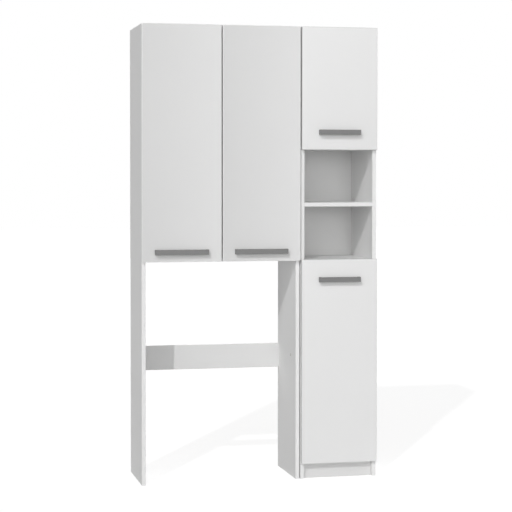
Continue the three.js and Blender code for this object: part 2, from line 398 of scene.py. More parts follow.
@dataclass(frozen=True)
class Finish:
    """A surface finish, made once and shared by every piece that has it.

    Attributes:
        name: the material's name.
        colour: its middle colour, as linear light.
        roughness: its middle roughness.
        shades: pairs of a pattern value and the tone there, as a factor on the colour.
        gloss_spread: how far the roughness goes below and above its middle.
        gloss_range: the pattern values that give the lowest and the highest roughness.
        relief_depth: height of its relief in metres.
        relief_strength: share of that relief that shows.
    """

    name: str
    colour: Colour
    roughness: float
    shades: Shades = ((0.0, 1.0), (1.0, 1.0))
    gloss_spread: tuple[float, float] = (0.05, 0.05)
    gloss_range: tuple[float, float] = (0.35, 0.65)
    relief_depth: float = 0.0001
    relief_strength: float = 0.2

    def material(self) -> bpy.types.Material:
        """Returns the finish's material and makes it on first use."""
        made = bpy.data.materials.get(self.name)
        return made if made is not None else self.paint(Graph(self.name))

    def paint(self, graph: Graph) -> bpy.types.Material:
        """Writes the finish's nodes.

        Args:
            graph: the node tree to write in.

        Returns:
            The finished material.
        """
        raise NotImplementedError

    def coat(
        self, graph: Graph, tone: Value, gloss: Value, height: Value, **inputs: Value
    ) -> bpy.types.Material:
        """Turns three patterns into colour, roughness and relief.

        Args:
            graph: the node tree to write in.
            tone: the pattern of the colour.
            gloss: the pattern of the roughness.
            height: the pattern of the relief.
            **inputs: other inputs of the shader by name.

        Returns:
            The finished material.
        """
        stops = [(value, toned(self.colour, factor)) for value, factor in self.shades]
        below, above = self.gloss_spread
        smoothest = self.roughness - below
        roughest = self.roughness + above
        return graph.dress(
            Base_Color=graph.ramp(tone, stops),
            Roughness=graph.between(gloss, smoothest, roughest, *self.gloss_range),
            Normal=graph.relief(height, self.relief_depth, self.relief_strength),
            **inputs,
        )


@dataclass(frozen=True)
class Melamine(Finish):
    """Satin white coating with a fine pearl in it.

    Attributes:
        relief_depth: height of the pearl's grains in metres.
        relief_strength: share of that relief that shows.
        cloud: patches in a metre of the faint tone change over a board.
        cloud_range: the noise values of its darkest and its lightest patches.
        drift: how much the patches differ from the middle colour, as a share of it.
        painted_shade_lean: a painted shading, as how much the tone changes from one side of a piece to the
            other along each axis.
        pearl: grains in a metre of the pressed surface.
        shine: how strongly the coating mirrors, where 0.5 is a clear lacquer.
    """

    relief_depth: float = 0.00012
    relief_strength: float = 0.12
    cloud: float = 2.2
    cloud_range: tuple[float, float] = (0.3, 0.7)
    drift: float = 0.008
    painted_shade_lean: tuple[float, float, float] = (0.0, 0.0, 0.0)
    pearl: float = 950.0
    shine: float = 0.5

    def paint(self, graph: Graph) -> bpy.types.Material:
        """Writes a clouded white with a painted shading from one side of each piece to the other, with
        grains in its gloss and relief.

        Args:
            graph: the node tree to write in.

        Returns:
            The finished material.
        """
        patches = graph.noise(self.cloud, detail=3.0)
        cloud = graph.between(patches, -self.drift, self.drift, *self.cloud_range)
        # painted shading: the tone leans across each piece, lighter on one side, standing in for light and
        # shade
        tone = graph.sum(graph.painted_shading(self.painted_shade_lean), cloud)
        span = sum(abs(part) for part in self.painted_shade_lean) / 2 + self.drift
        middle = sum(self.painted_shade_lean) / 2
        factor = graph.between(tone, 0.0, 1.0, middle - span, middle + span)
        grains = graph.noise(self.pearl)
        painted_shading = replace(self, shades=((0.0, 1 - span), (1.0, 1 + span)))
        return painted_shading.coat(graph, factor, grains, grains, Specular_IOR_Level=self.shine)


@dataclass(frozen=True)
class EdgeBand(Finish):
    """Extruded plastic edge, glossier than the faces, with faint ripples from the trimming knife.

    Attributes:
        ripple: ripples in a metre.
        wear: patches in a metre of the faint wear.
    """

    shades: Shades = ((0.35, 0.985), (0.6, 1.0))
    gloss_spread: tuple[float, float] = (0.04, 0.06)
    relief_depth: float = 0.00008
    relief_strength: float = 0.15
    ripple: float = 260.0
    wear: float = 18.0

    def paint(self, graph: Graph) -> bpy.types.Material:
        """Writes a worn white over the ripples.

        Args:
            graph: the node tree to write in.

        Returns:
            The finished material.
        """
        ripple = graph.noise(self.ripple)
        worn = graph.noise(self.wear, detail=4.0)
        return self.coat(graph, worn, worn, ripple)


@dataclass(frozen=True)
class Chipboard(Finish):
    """Raw sawn chipboard: long flakes in several browns with pores between them.

    Attributes:
        flakes: flakes in a metre, across their length.
        stretch: how the flakes lie, as a scale on each axis.
        dust: grains in a metre of the sawdust on them.
        dust_shades: tone of the dust, from its darkest to its lightest.
    """

    shades: Shades = ((0.05, 0.45), (0.35, 1.0), (0.75, 1.45))
    gloss_spread: tuple[float, float] = (0.08, 0.08)
    relief_depth: float = 0.0004
    relief_strength: float = 0.6
    flakes: float = 520.0
    stretch: tuple[float, float, float] = (0.35, 0.35, 1.0)
    dust: float = 1400.0
    dust_shades: tuple[float, float] = (0.7, 1.2)

    def paint(self, graph: Graph) -> bpy.types.Material:
        """Writes flakes of random tone under a finer dust.

        Args:
            graph: the node tree to write in.

        Returns:
            The finished material.
        """
        place = graph.stretched(self.stretch)
        flake = graph.cells(self.flakes, place)
        gap = graph.cells(self.flakes, place, "Distance")
        dust = graph.noise(self.dust, detail=3.0)
        tone = graph.product(flake, graph.between(dust, *self.dust_shades))
        return self.coat(graph, tone, dust, gap)


@dataclass(frozen=True)
class Hardboard(Finish):
    """Raw pressed fibre board: fine felted fibres with darker specks and broad clouds.

    Attributes:
        fibres: fibres in a metre, across their length.
        fibre_stretch: scale along the fibres.
        fibre_range: sum of both fibre patterns in the darkest and in the lightest places.
        fibre_shades: tone of those places.
        cloud: broad patches in a metre.
        cloud_shades: tone that the patches add, from their darkest to their lightest.
    """

    shades: Shades = ((0.0, 0.62), (0.45, 1.0), (1.0, 1.35))
    gloss_spread: tuple[float, float] = (0.1, 0.08)
    gloss_range: tuple[float, float] = (0.0, 0.8)
    relief_depth: float = 0.00025
    relief_strength: float = 0.35
    fibres: float = 420.0
    fibre_stretch: float = 0.16
    fibre_range: tuple[float, float] = (0.75, 1.25)
    fibre_shades: tuple[float, float] = (0.0, 0.8)
    cloud: float = 7.0
    cloud_shades: tuple[float, float] = (-0.12, 0.2)

    def paint(self, graph: Graph) -> bpy.types.Material:
        """Writes fibres that run both ways over a clouded brown.

        Args:
            graph: the node tree to write in.

        Returns:
            The finished material.
        """
        upright = graph.stretched((1.0, 1.0, self.fibre_stretch))
        level = graph.stretched((self.fibre_stretch, 1.0, 1.0))
        along = graph.noise(self.fibres, detail=4.0, where=upright)
        across = graph.noise(self.fibres, detail=4.0, where=level)
        cloud = graph.noise(self.cloud, detail=4.0)
        felt = graph.between(graph.sum(along, across), *self.fibre_shades, *self.fibre_range)
        tone = graph.sum(felt, graph.between(cloud, *self.cloud_shades))
        return self.coat(graph, tone, felt, felt)


@dataclass(frozen=True)
class Lacquer(Finish):
    """Grey satin lacquer on metal, with a fine orange peel.

    Attributes:
        metallic: share of metal flake in the lacquer.
        flake: flakes in a metre.
        peel: ripples in a metre.
        rubbed: patches in a metre that hands have rubbed.
    """

    shades: Shades = ((0.1, 0.9), (0.9, 1.1))
    gloss_spread: tuple[float, float] = (0.05, 0.07)
    relief_depth: float = 0.00012
    relief_strength: float = 0.18
    metallic: float = 0.10
    flake: float = 2600.0
    peel: float = 520.0
    rubbed: float = 26.0

    def paint(self, graph: Graph) -> bpy.types.Material:
        """Writes a grey with specks of flake and a slow ripple.

        Args:
            graph: the node tree to write in.

        Returns:
            The finished material.
        """
        flake = graph.cells(self.flake, graph.place)
        peel = graph.noise(self.peel)
        rubbed = graph.noise(self.rubbed, detail=4.0)
        return self.coat(graph, flake, rubbed, peel, Metallic=self.metallic)


@dataclass(frozen=True)
class PlatedSteel(Finish):
    """Nickel or zinc plating on pressed steel, with faint drawing lines and a clouded gloss.

    Attributes:
        lines: drawing lines in a metre.
        stretch: how the drawing lines run, as a scale on each axis.
        cloud: patches in a metre of gloss and tone.
    """

    shades: Shades = ((0.3, 0.9), (0.7, 1.06))
    gloss_spread: tuple[float, float] = (0.06, 0.1)
    relief_depth: float = 0.00006
    relief_strength: float = 0.2
    lines: float = 1500.0
    stretch: tuple[float, float, float] = (1.0, 0.08, 1.0)
    cloud: float = 90.0

    def paint(self, graph: Graph) -> bpy.types.Material:
        """Writes a bright metal whose gloss and tone change a little.

        Args:
            graph: the node tree to write in.

        Returns:
            The finished material.
        """
        drawn = graph.noise(self.lines, where=graph.stretched(self.stretch))
        cloud = graph.noise(self.cloud, detail=4.0)
        return self.coat(graph, cloud, cloud, drawn, Metallic=1.0)


@dataclass(frozen=True)
class Galvanised(Finish):
    """Hot-dipped zinc with its crystals.

    Attributes:
        crystals: crystals in a metre.
        grain: grains in a metre of the matt surface.
    """

    shades: Shades = ((0.1, 0.82), (0.9, 1.1))
    gloss_spread: tuple[float, float] = (0.1, 0.12)
    gloss_range: tuple[float, float] = (0.1, 0.9)
    relief_depth: float = 0.0001
    relief_strength: float = 0.25
    crystals: float = 150.0
    grain: float = 800.0

    def paint(self, graph: Graph) -> bpy.types.Material:
        """Writes crystals of random tone and gloss.

        Args:
            graph: the node tree to write in.

        Returns:
            The finished material.
        """
        crystal = graph.cells(self.crystals, graph.place)
        grain = graph.noise(self.grain, detail=3.0)
        return self.coat(graph, crystal, crystal, grain, Metallic=1.0)


BOARD = Melamine("white_melamine", (0.825, 0.825, 0.822), 0.52, shine=0.35)
# The plinth's white is the board's, made darker as painted shade for its recess under the doors; the rear
# rail takes the same finish.
PLINTH_PAINTED_SHADE = Melamine("white_plinth_painted_shade", (0.735, 0.735, 0.732), 0.50)
# The doors' leans are painted shading: each wide door grows lighter towards its right, and the column doors
# lighter towards the left and the top, as light falls on them.
WIDE_DOOR = Melamine("white_wide_door", (0.732, 0.732, 0.730), 0.42, painted_shade_lean=(0.13, 0.0, 0.0), pearl=1150.0)
COLUMN_DOOR = Melamine(
    "white_column_door", (0.835, 0.835, 0.833), 0.42, painted_shade_lean=(-0.02, 0.0, 0.045), pearl=1150.0
)
# The edge band is partly its own white and partly a painted highlight: set lighter than the door faces so
# that the wide doors' edges show a bright line; the carcass and shelf edges share it.
BAND = EdgeBand("white_edge_band_painted_highlight", (0.855, 0.855, 0.852), 0.36)
# The column doors' edge bands are much darker than their faces: painted shade that darkens the gaps round
# those doors.
COLUMN_BAND_PAINTED_SHADE = EdgeBand("white_column_band_painted_shade", (0.700, 0.700, 0.698), 0.40)
RAW = Chipboard("raw_chipboard", (0.36, 0.25, 0.15), 0.85)
BACK_WHITE = Melamine("white_back_lacquer", (0.770, 0.770, 0.766), 0.55, pearl=600.0)
BACK_RAW = Hardboard("raw_hardboard", (0.27, 0.165, 0.09), 0.75)
GREY = Lacquer("grey_handle_lacquer", (0.185, 0.185, 0.184), 0.45)
NICKEL = PlatedSteel("nickel_plated_steel", (0.62, 0.61, 0.585), 0.28)
ZINC = PlatedSteel("zinc_plated_screw", (0.60, 0.59, 0.53), 0.34, stretch=(1.0, 1.0, 1.0))
GALVANISED = Galvanised("galvanised_steel", (0.55, 0.56, 0.57), 0.42)

BOARD_FINISHES = (BOARD, BAND, RAW)
UPRIGHT_FINISHES = (PLINTH_PAINTED_SHADE, BAND, RAW)
BACK_FINISHES = (BACK_WHITE, BAND, BACK_RAW)
HINGE_FINISHES = (NICKEL, ZINC)
BRACKET_FINISHES = (GALVANISED, ZINC)


def arc(centre: Sequence[float], radius: float, start: float, end: float, steps: int) -> list[Place]:
    """Places points along an arc.

    Args:
        centre: its centre.
        radius: its radius.
        start: angle of its first point in degrees.
        end: angle of its last point in degrees.
        steps: number of stretches between the points.

    Returns:
        The points, with both ends.
    """
    angles = [math.radians(start + (end - start) * step / steps) for step in range(steps + 1)]
    return [(centre[0] + radius * math.cos(a), centre[1] + radius * math.sin(a)) for a in angles]


class Solid:
    """A closed mesh in the making, in metres, with a finish number on every face."""

    def __init__(self) -> None:
        """Starts with no faces."""
        self.work = bmesh.new()

    @classmethod
    def block(cls, low: Vector, high: Vector) -> "Solid":
        """Makes a box.

        Args:
            low: lowest corner.
            high: highest corner.

        Returns:
            The solid.
        """
        solid = cls()
        place = Matrix.Translation((low + high) / 2) @ Matrix.Diagonal((*(high - low), 1.0))
        bmesh.ops.create_cube(solid.work, size=1.0, matrix=place)
        return solid

    @classmethod
    def prism(
        cls, outline: Sequence[Place], low: float, high: float, plane: Plane = Plane.XY
    ) -> "Solid":
        """Raises a flat outline between two heights.

        Args:
            outline: places round the outline.
            low: height of the lower face.
            high: height of the upper face.
            plane: the plane that the outline is drawn in.

        Returns:
            The solid.
        """
        solid = cls()
        lower = [solid.work.verts.new(plane.point(*place, low)) for place in outline]
        upper = [solid.work.verts.new(plane.point(*place, high)) for place in outline]
        solid.work.faces.new(lower)
        solid.work.faces.new(upper)
        for i in range(len(outline)):
            solid.work.faces.new((lower[i - 1], lower[i], upper[i], upper[i - 1]))
        bmesh.ops.recalc_face_normals(solid.work, faces=solid.work.faces)
        return solid

    @classmethod
    def turned(
        cls,
        profile: Sequence[Place],
        sides: int,
        plane: Plane = Plane.XY,
        centre: Place = (0.0, 0.0),
    ) -> "Solid":
        """Turns a profile round an axis that stands on a plane.

        Args:
            profile: radii and heights. It starts and ends on the axis, or else it closes on itself.
            sides: number of flats round it.
            plane: the plane that the axis stands on.
            centre: place of the axis on that plane.

        Returns:
            The solid.
        """
        solid = cls()
        rings = []
        for radius, height in profile:
            places = arc(centre, radius, 0, 360, sides)[:-1] if radius > 0 else [centre]
            rings.append([solid.work.verts.new(plane.point(*place, height)) for place in places])
        pairs = list(zip(rings, rings[1:]))
        if len(rings[0]) > 1:
            pairs.append((rings[-1], rings[0]))
        for near, far in pairs:
            for k in range(sides):
                following = (k + 1) % sides
                corners = (near[k % len(near)], near[following % len(near)],
                           far[following % len(far)], far[k % len(far)])
                distinct = list(dict.fromkeys(corners))
                if len(distinct) > 2:
                    solid.work.faces.new(distinct)
        bmesh.ops.recalc_face_normals(solid.work, faces=solid.work.faces)
        return solid

    @classmethod
    def rod(
        cls, radius: float, low: float, high: float, sides: int, plane: Plane, centre: Place
    ) -> "Solid":
        """Makes a round bar.

        Args:
            radius: its radius.
            low: where it starts along its axis.
            high: where it ends.
            sides: number of flats round it.
            plane: the plane that its axis stands on.
            centre: place of the axis on that plane.

        Returns:
            The solid.
        """
        return cls.turned([(0.0, low), (radius, low), (radius, high), (0.0, high)], sides, plane, centre)

    def moved(self, matrix: Matrix) -> "Solid":
        """Moves the solid, and turns its faces over where the move mirrors it.

        Args:
            matrix: the move.

        Returns:
            The same solid.
        """
        bmesh.ops.transform(self.work, matrix=matrix, verts=self.work.verts)
        if matrix.determinant() < 0:
            bmesh.ops.reverse_faces(self.work, faces=self.work.faces)
        return self

    def split(self, place: Vector, normal: Vector) -> "Solid":
        """Draws a line round the solid where a plane meets it.

        Args:
            place: a point on the plane.
            normal: the way that the plane faces.

        Returns:
            The same solid.
        """
        parts = [*self.work.verts, *self.work.edges, *self.work.faces]
        bmesh.ops.bisect_plane(self.work, geom=parts, plane_co=place, plane_no=normal)
        return self

    def painted(self, number: int, where: FaceTest = lambda face: True) -> "Solid":
        """Gives faces a finish.

        Args:
            number: the finish number.
            where: tells whether a face gets it.

        Returns:
            The same solid.
        """
        for face in self.work.faces:
            if where(face):
                face.material_index = number
        return self

    def softened(self, radius: float, steps: int = 2) -> "Solid":
        """Rounds every sharp edge.

        Args:
            radius: how far the rounding reaches from the edge.
            steps: number of faces across it.

        Returns:
            The same solid.
        """
        self.work.normal_update()
        sharp = [
            edge for edge in self.work.edges
            if edge.is_manifold and edge.calc_face_angle(0.0) > LEAST_BEVEL_ANGLE
        ]
        bmesh.ops.bevel(
            self.work, geom=sharp, offset=radius, offset_type="OFFSET", segments=steps, profile=0.5,
            affect="EDGES", clamp_overlap=True, material=-1,
        )
        return self

    def held(self, other: "Solid") -> "Solid":
        """Takes in another solid's shells as they are.

        Args:
            other: the solid that is used up.

        Returns:
            The same solid.
        """
        passing = bpy.data.meshes.new("passing")
        other.work.to_mesh(passing)
        other.work.free()
        self.work.from_mesh(passing)
        bpy.data.meshes.remove(passing)
        return self

    def mixed(self, other: "Solid", mix: Mix) -> "Solid":
        """Joins another solid to this one, or cuts it away.

        Args:
            other: the solid that is used up.
            mix: what is done with it.

        Returns:
            The same solid.
        """
        base = self.as_object("base")
        tool = other.as_object("tool")
        step = base.modifiers.new("mix", "BOOLEAN")
        step.operation = mix.value
        step.solver = "EXACT"
        step.material_mode = "INDEX"
        step.object = tool
        other.work.free()
        view = bpy.context.evaluated_depsgraph_get()
        result = bpy.data.meshes.new_from_object(base.evaluated_get(view))
        self.work.clear()
        self.work.from_mesh(result)
        for thing in (base, tool):
            mesh = thing.data
            bpy.data.objects.remove(thing)
            bpy.data.meshes.remove(mesh)
        bpy.data.meshes.remove(result)
        return self

    def as_object(self, name: str) -> bpy.types.Object:
        """Puts a copy of the solid into the scene.

        Args:
            name: the object's name.

        Returns:
            The object, with empty places for its finishes.
        """
        mesh = bpy.data.meshes.new(name)
        for _ in Layer:
            mesh.materials.append(None)
        self.work.to_mesh(mesh)
        thing = bpy.data.objects.new(name, mesh)
        bpy.context.scene.collection.objects.link(thing)
        return thing

    def piece(
        self, name: str, finishes: Sequence[Finish], body: str, slot: str, nodes: Iterable[str] = ()
    ) -> bpy.types.Object:
        """Makes the finished piece, with even shading on its flats and smooth roundings.

        Args:
            name: the piece's name.
            finishes: a finish for each number on its faces.
            body: the body that it rides on.
            slot: the record's material slot, which is not used.
            nodes: the frame's solids that it stands for.

        Returns:
            The piece.
        """
        mesh = bpy.data.meshes.new(name)
        bmesh.ops.remove_doubles(self.work, verts=self.work.verts, dist=WELD_DISTANCE)
        self.work.to_mesh(mesh)
        self.work.free()
        for finish in finishes:
            mesh.materials.append(finish.material())
        mesh.shade_smooth()
        mesh.set_sharp_from_angle(angle=SHARP_ANGLE)
        thing = bpy.data.objects.new(name, mesh)
        bpy.context.scene.collection.objects.link(thing)
        even = thing.modifiers.new("even_shading", "WEIGHTED_NORMAL")
        even.keep_sharp = True
        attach(thing, body)
        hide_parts(*nodes)
        log.info("%s: %d faces, rides on %s", name, len(mesh.polygons), body)
        return thing


@dataclass(frozen=True)
class Screw:
    """A pan-head screw as it shows when driven in: a domed head with a cross recess.

    Attributes:
        radius: radius of the head.
        height: height of the dome over its seat.
        sunk: how far the head's rim goes below its seat.
        slot: width of each arm of the cross.
        reach_share: length of the cross as a share of the head's diameter.
        floor_share: height of the recess's floor as a share of the dome's.
        dome_steps: faces from the dome's rim to its middle.
        sides: flats round the head.
    """

    radius: float = 0.0034
    height: float = 0.0011
    sunk: float = 0.0001
    slot: float = 0.0008
    reach_share: float = 0.62
    floor_share: float = 0.25
    dome_steps: int = 5
    sides: int = 28

    def solid(self, place: Vector, direction: Vector, number: int = Metal.SCREW) -> Solid:
        """Makes the head.

        Args:
            place: middle of its seat.
            direction: the way that the head looks.
            number: its finish number.

        Returns:
            The solid.
        """
        dome = [(self.radius * c, self.height * s) for c, s in arc((0.0, 0.0), 1.0, 0, 90, self.dome_steps)]
        profile = [(0.0, -self.sunk), (self.radius, -self.sunk), *dome[1:-1], (0.0, self.height)]
        head = Solid.turned(profile, self.sides)
        arm = self.radius * self.reach_share
        half = self.slot / 2
        cross = [(arm, half), (half, half), (half, arm), (-half, arm), (-half, half), (-arm, half),
                 (-arm, -half), (-half, -half), (-half, -arm), (half, -arm), (half, -half), (arm, -half)]
        head.mixed(Solid.prism(cross, self.height * self.floor_share, self.height * 2), Mix.CUT)
        turn = Side.TOP.normal().rotation_difference(direction).to_matrix().to_4x4()
        return head.painted(number).moved(Matrix.Translation(place) @ turn)


CUP_SCREW = Screw()
ARM_SCREW = Screw(radius=0.0029)
PLATE_SCREW = Screw(radius=0.0036)
HANDLE_SCREW = Screw(radius=0.0040, height=0.0016)
TOP_SCREW = Screw(radius=0.0042, height=0.0014)
WALL_SCREW = Screw(radius=0.0048, height=0.0016)


@dataclass(frozen=True)
class BoardStock:
    """How boards are cut and edged.

    Attributes:
        edge_radius: rounding along every edge.
        edge_steps: faces across that rounding.
        band: thickness of the edge band.
    """

    edge_radius: float = 0.0009
    edge_steps: int = 3
    band: float = 0.001

    def cut(self, low: Vector, high: Vector, banded: Sequence[Side], raw: Sequence[Side] = ()) -> Solid:
        """Cuts a coated board.

        Args:
            low: its lowest corner.
            high: its highest corner.
            banded: the sides that have an edge band.
            raw: the sides that are left raw.

        Returns:
            The solid, with a finish on each side.
        """
        board = Solid.block(low, high)
        for side in banded:
            normal = side.normal()
            surface = high if sum(normal) > 0 else low
            board.split(surface - normal * self.band, normal)
        for side in raw:
            board.painted(Layer.RAW, side.has)
        for side in banded:
            board.painted(Layer.BAND, lambda face: side.near(face, low, high, self.band))
        return board.softened(self.edge_radius, self.edge_steps)


STOCK = BoardStock()


@dataclass
class Carcass:
    """The fixed boards of one module.

    Attributes:
        stem: start of the names of its side panels, top and back.
        boards: nodes of the boards between the side panels.
        uprights: nodes of the boards that stand across them, such as a plinth or a rail.
        shelves: number of loose shelves.
        bolted: the side panel that is bolted to the neighbouring module.
        pin_radius: radius of a shelf pin.
        pin_in_panel: length of a pin in its panel.
        pin_under_shelf: length of a pin under its shelf.
        pin_from_edge: distance of the pins from the shelf's front and the panel's rear.
        shelf_fit: clearance between a shelf's ends and the panels.
        pin_groove: half the width of the groove round a pin's end.
        hole_fit: clearance round a pin or bolt.
        row_step: distance to the spare hole above and below each pin.
        bolt_radius: radius of a bolt's sleeve.
        nail_radius: radius of a back panel's nails.
        nail_step: distance between nails.
        nail_inset: distance of the nails from the back panel's edge.
        nail_height: how far a nail's head stands on the back panel.
        nail_rim_share: height of the head's rim as a share of that.
        nail_crown_share: radius of the head's flat crown as a share of its whole radius.
        back_edge: rounding along a back panel's edges.
        hole_sides: flats round a drilled hole.
    """

    stem: str
    boards: tuple[str, ...]
    uprights: tuple[str, ...]
    shelves: int
    bolted: str
    pin_radius: float = 0.0025
    pin_in_panel: float = 0.008
    pin_under_shelf: float = 0.009
    pin_from_edge: float = 0.040
    shelf_fit: float = 0.0005
    pin_groove: float = 0.0003
    hole_fit: float = 0.0002
    row_step: float = 0.032
    bolt_radius: float = 0.0025
    nail_radius: float = 0.0022
    nail_step: float = 0.110
    nail_inset: float = 0.008
    nail_height: float = 0.0002
    nail_rim_share: float = 0.4
    nail_crown_share: float = 0.8
    back_edge: float = 0.0003
    hole_sides: int = 20

    def build(self) -> None:
        """Builds every fixed board, the back, the shelves and their pins."""
        for side in ("left", "right"):
            self.side_panel(f"{self.stem}_{side}_side", Side[side.upper()])
        for node in self.boards:
            self.plain_board(node, BOARD_FINISHES, (Side.FRONT,), (Side.REAR, Side.LEFT, Side.RIGHT))
        for node in self.uprights:
            self.plain_board(node, UPRIGHT_FINISHES, (Side.TOP,), (Side.BOTTOM, Side.LEFT, Side.RIGHT))
        self.back_panel()
        for number in range(1, self.shelves + 1):
            self.shelf(number)

    def plain_board(
        self, node: str, finishes: Sequence[Finish], banded: Sequence[Side], raw: Sequence[Side]
    ) -> None:
        """Builds a board with no holes in it.

        Args:
            node: the solid that it stands for.
            finishes: the finishes of its faces, its bands and its raw edges.
            banded: its banded sides.
            raw: its raw sides.
        """
        low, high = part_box(node)
        solid = STOCK.cut(low, high, banded, raw)
        solid.piece(f"{node}_board", finishes, FIXED_BODY, "white_board", [node])

    def pin_places(self, number: int) -> list[Place]:
        """Finds where a shelf's pins stand.

        Args:
            number: the shelf's number, from 1 at the bottom.

        Returns:
            The distances Y and Z of the front and the rear pin.
        """
        low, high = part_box(f"{self.stem}_shelf_{number}")
        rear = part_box(f"{self.stem}_left_side")[1].y
        level = high.z - BOARD_THICKNESS - self.pin_radius
        return [(low.y + self.pin_from_edge, level), (rear - self.pin_from_edge, level)]

    def side_panel(self, node: str, outer: Side) -> None:
        """Builds an upright side panel with its rows of pin holes and any bolt holes.

        Args:
            node: the solid that it stands for.
            outer: the side that faces away from the module.
        """
        low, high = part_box(node)
        panel = STOCK.cut(low, high, (Side.FRONT, Side.TOP), (Side.REAR, Side.BOTTOM))
        way = -outer.value[1]
        inner = high.x if way > 0 else low.x
        ends = sorted((inner - way * (self.pin_in_panel + self.hole_fit), inner + way * BOARD_THICKNESS))
        pin_hole = self.pin_radius + self.hole_fit
        bolt_hole = self.bolt_radius + self.hole_fit
        drills = Solid()
        for number in range(1, self.shelves + 1):
            for depth, level in self.pin_places(number):
                for step in (-1, 0, 1):
                    place = (depth, level + step * self.row_step)
                    drills.held(Solid.rod(pin_hole, *ends, self.hole_sides, Plane.YZ, place))
        if node == self.bolted:
            for bolt in bolt_nodes():
                middle = sum(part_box(bolt), Vector()) / 2
                through = (low.x - BOARD_THICKNESS, high.x + BOARD_THICKNESS)
                place = (middle.y, middle.z)
                drills.held(Solid.rod(bolt_hole, *through, self.hole_sides, Plane.YZ, place))
        panel.mixed(drills.painted(Layer.RAW), Mix.CUT)
        panel.piece(f"{node}_board", BOARD_FINISHES, FIXED_BODY, "white_board", [node])

    def shelf(self, number: int) -> None:
        """Builds a loose shelf and the four steel pins under it.

        Args:
            number: the shelf's number, from 1 at the bottom.
        """
        node = f"{self.stem}_shelf_{number}"
        low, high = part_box(node)
        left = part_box(f"{self.stem}_left_side")[1].x
        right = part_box(f"{self.stem}_right_side")[0].x
        reach = self.pin_in_panel + self.shelf_fit
        underside = Vector((low.x + reach, low.y, high.z - BOARD_THICKNESS))
        corner = Vector((high.x - reach, high.y, high.z))
        board = STOCK.cut(underside, corner, (Side.FRONT,), (Side.REAR, Side.LEFT, Side.RIGHT))
        board.piece(f"{node}_board", BOARD_FINISHES, FIXED_BODY, "white_board", [node])
        pins = Solid()
        for depth, level in self.pin_places(number):
            for face, way in ((left, 1), (right, -1)):
                pins.held(self.pin(way).moved(Matrix.Translation((face, depth, level))))
        pins.piece(f"{node}_pins", (NICKEL,), FIXED_BODY, "hinge_steel")

    def pin(self, way: int) -> Solid:
        """Makes a shelf pin along X, with a ring groove and a domed end.

        Args:
            way: 1 where it points to the right, and -1 to the left.

        Returns:
            The pin, with the panel's face at zero.
        """
        radius = self.pin_radius
        groove = self.pin_groove
        end = self.pin_under_shelf
        profile = [
            (0.0, -self.pin_in_panel), (radius - groove, -self.pin_in_panel),
            (radius, -self.pin_in_panel + groove), (radius, groove), (radius - groove, 2 * groove),
            (radius - groove, 4 * groove), (radius, 5 * groove), (radius, end - 3 * groove),
            (radius - groove, end - groove), (radius - 3 * groove, end), (0.0, end),
        ]
        return Solid.turned(profile, self.hole_sides, Plane.YZ).moved(Matrix.Diagonal((way, 1.0, 1.0, 1.0)))

    def back_panel(self) -> None:
        """Builds the thin back, white inside and raw outside, with nails along its edges."""
        node = f"{self.stem}_back"
        low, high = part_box(node)
        surface = high.y - self.nail_height
        panel = Solid.block(low, Vector((high.x, surface, high.z)))
        panel.painted(Layer.RAW, lambda face: not Side.FRONT.has(face))
        panel.softened(self.back_edge, steps=1)
        panel.piece(f"{node}_panel", BACK_FINISHES, FIXED_BODY, "white_back", [node])
        radius = self.nail_radius
        height = self.nail_height
        profile = [(0.0, -height), (radius, -height), (radius, height * self.nail_rim_share),
                   (radius * self.nail_crown_share, height), (0.0, height)]
        nails = Solid()
        for across, level in self.nail_places(low, high):
            head = Solid.turned(profile, self.hole_sides, Plane.XZ)
            nails.held(head.moved(Matrix.Translation((across, surface, level))))
        nails.piece(f"{node}_nails", (ZINC,), FIXED_BODY, "bracket_steel")

    def nail_places(self, low: Vector, high: Vector) -> list[Place]:
        """Spaces nails evenly round a back panel.

        Args:
            low: its lowest corner.
            high: its highest corner.

        Returns:
            The distances X and Z of each nail.
        """
        spans = [(low.x + self.nail_inset, high.x - self.nail_inset),
                 (low.z + self.nail_inset, high.z - self.nail_inset)]
        counts = [max(1, round((end - start) / self.nail_step)) for start, end in spans]
        rows = [
            [start + (end - start) * i / count for i in range(count + 1)]
            for (start, end), count in zip(spans, counts)
        ]
        across = [(x, z) for x in rows[0] for z in spans[1]]
        upright = [(x, z) for x in spans[0] for z in rows[1][1:-1]]
        return across + upright


def bolt_nodes() -> list[str]:
    """Lists the frame's joining bolts."""
    return sorted(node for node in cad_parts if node.startswith("joining_bolt"))


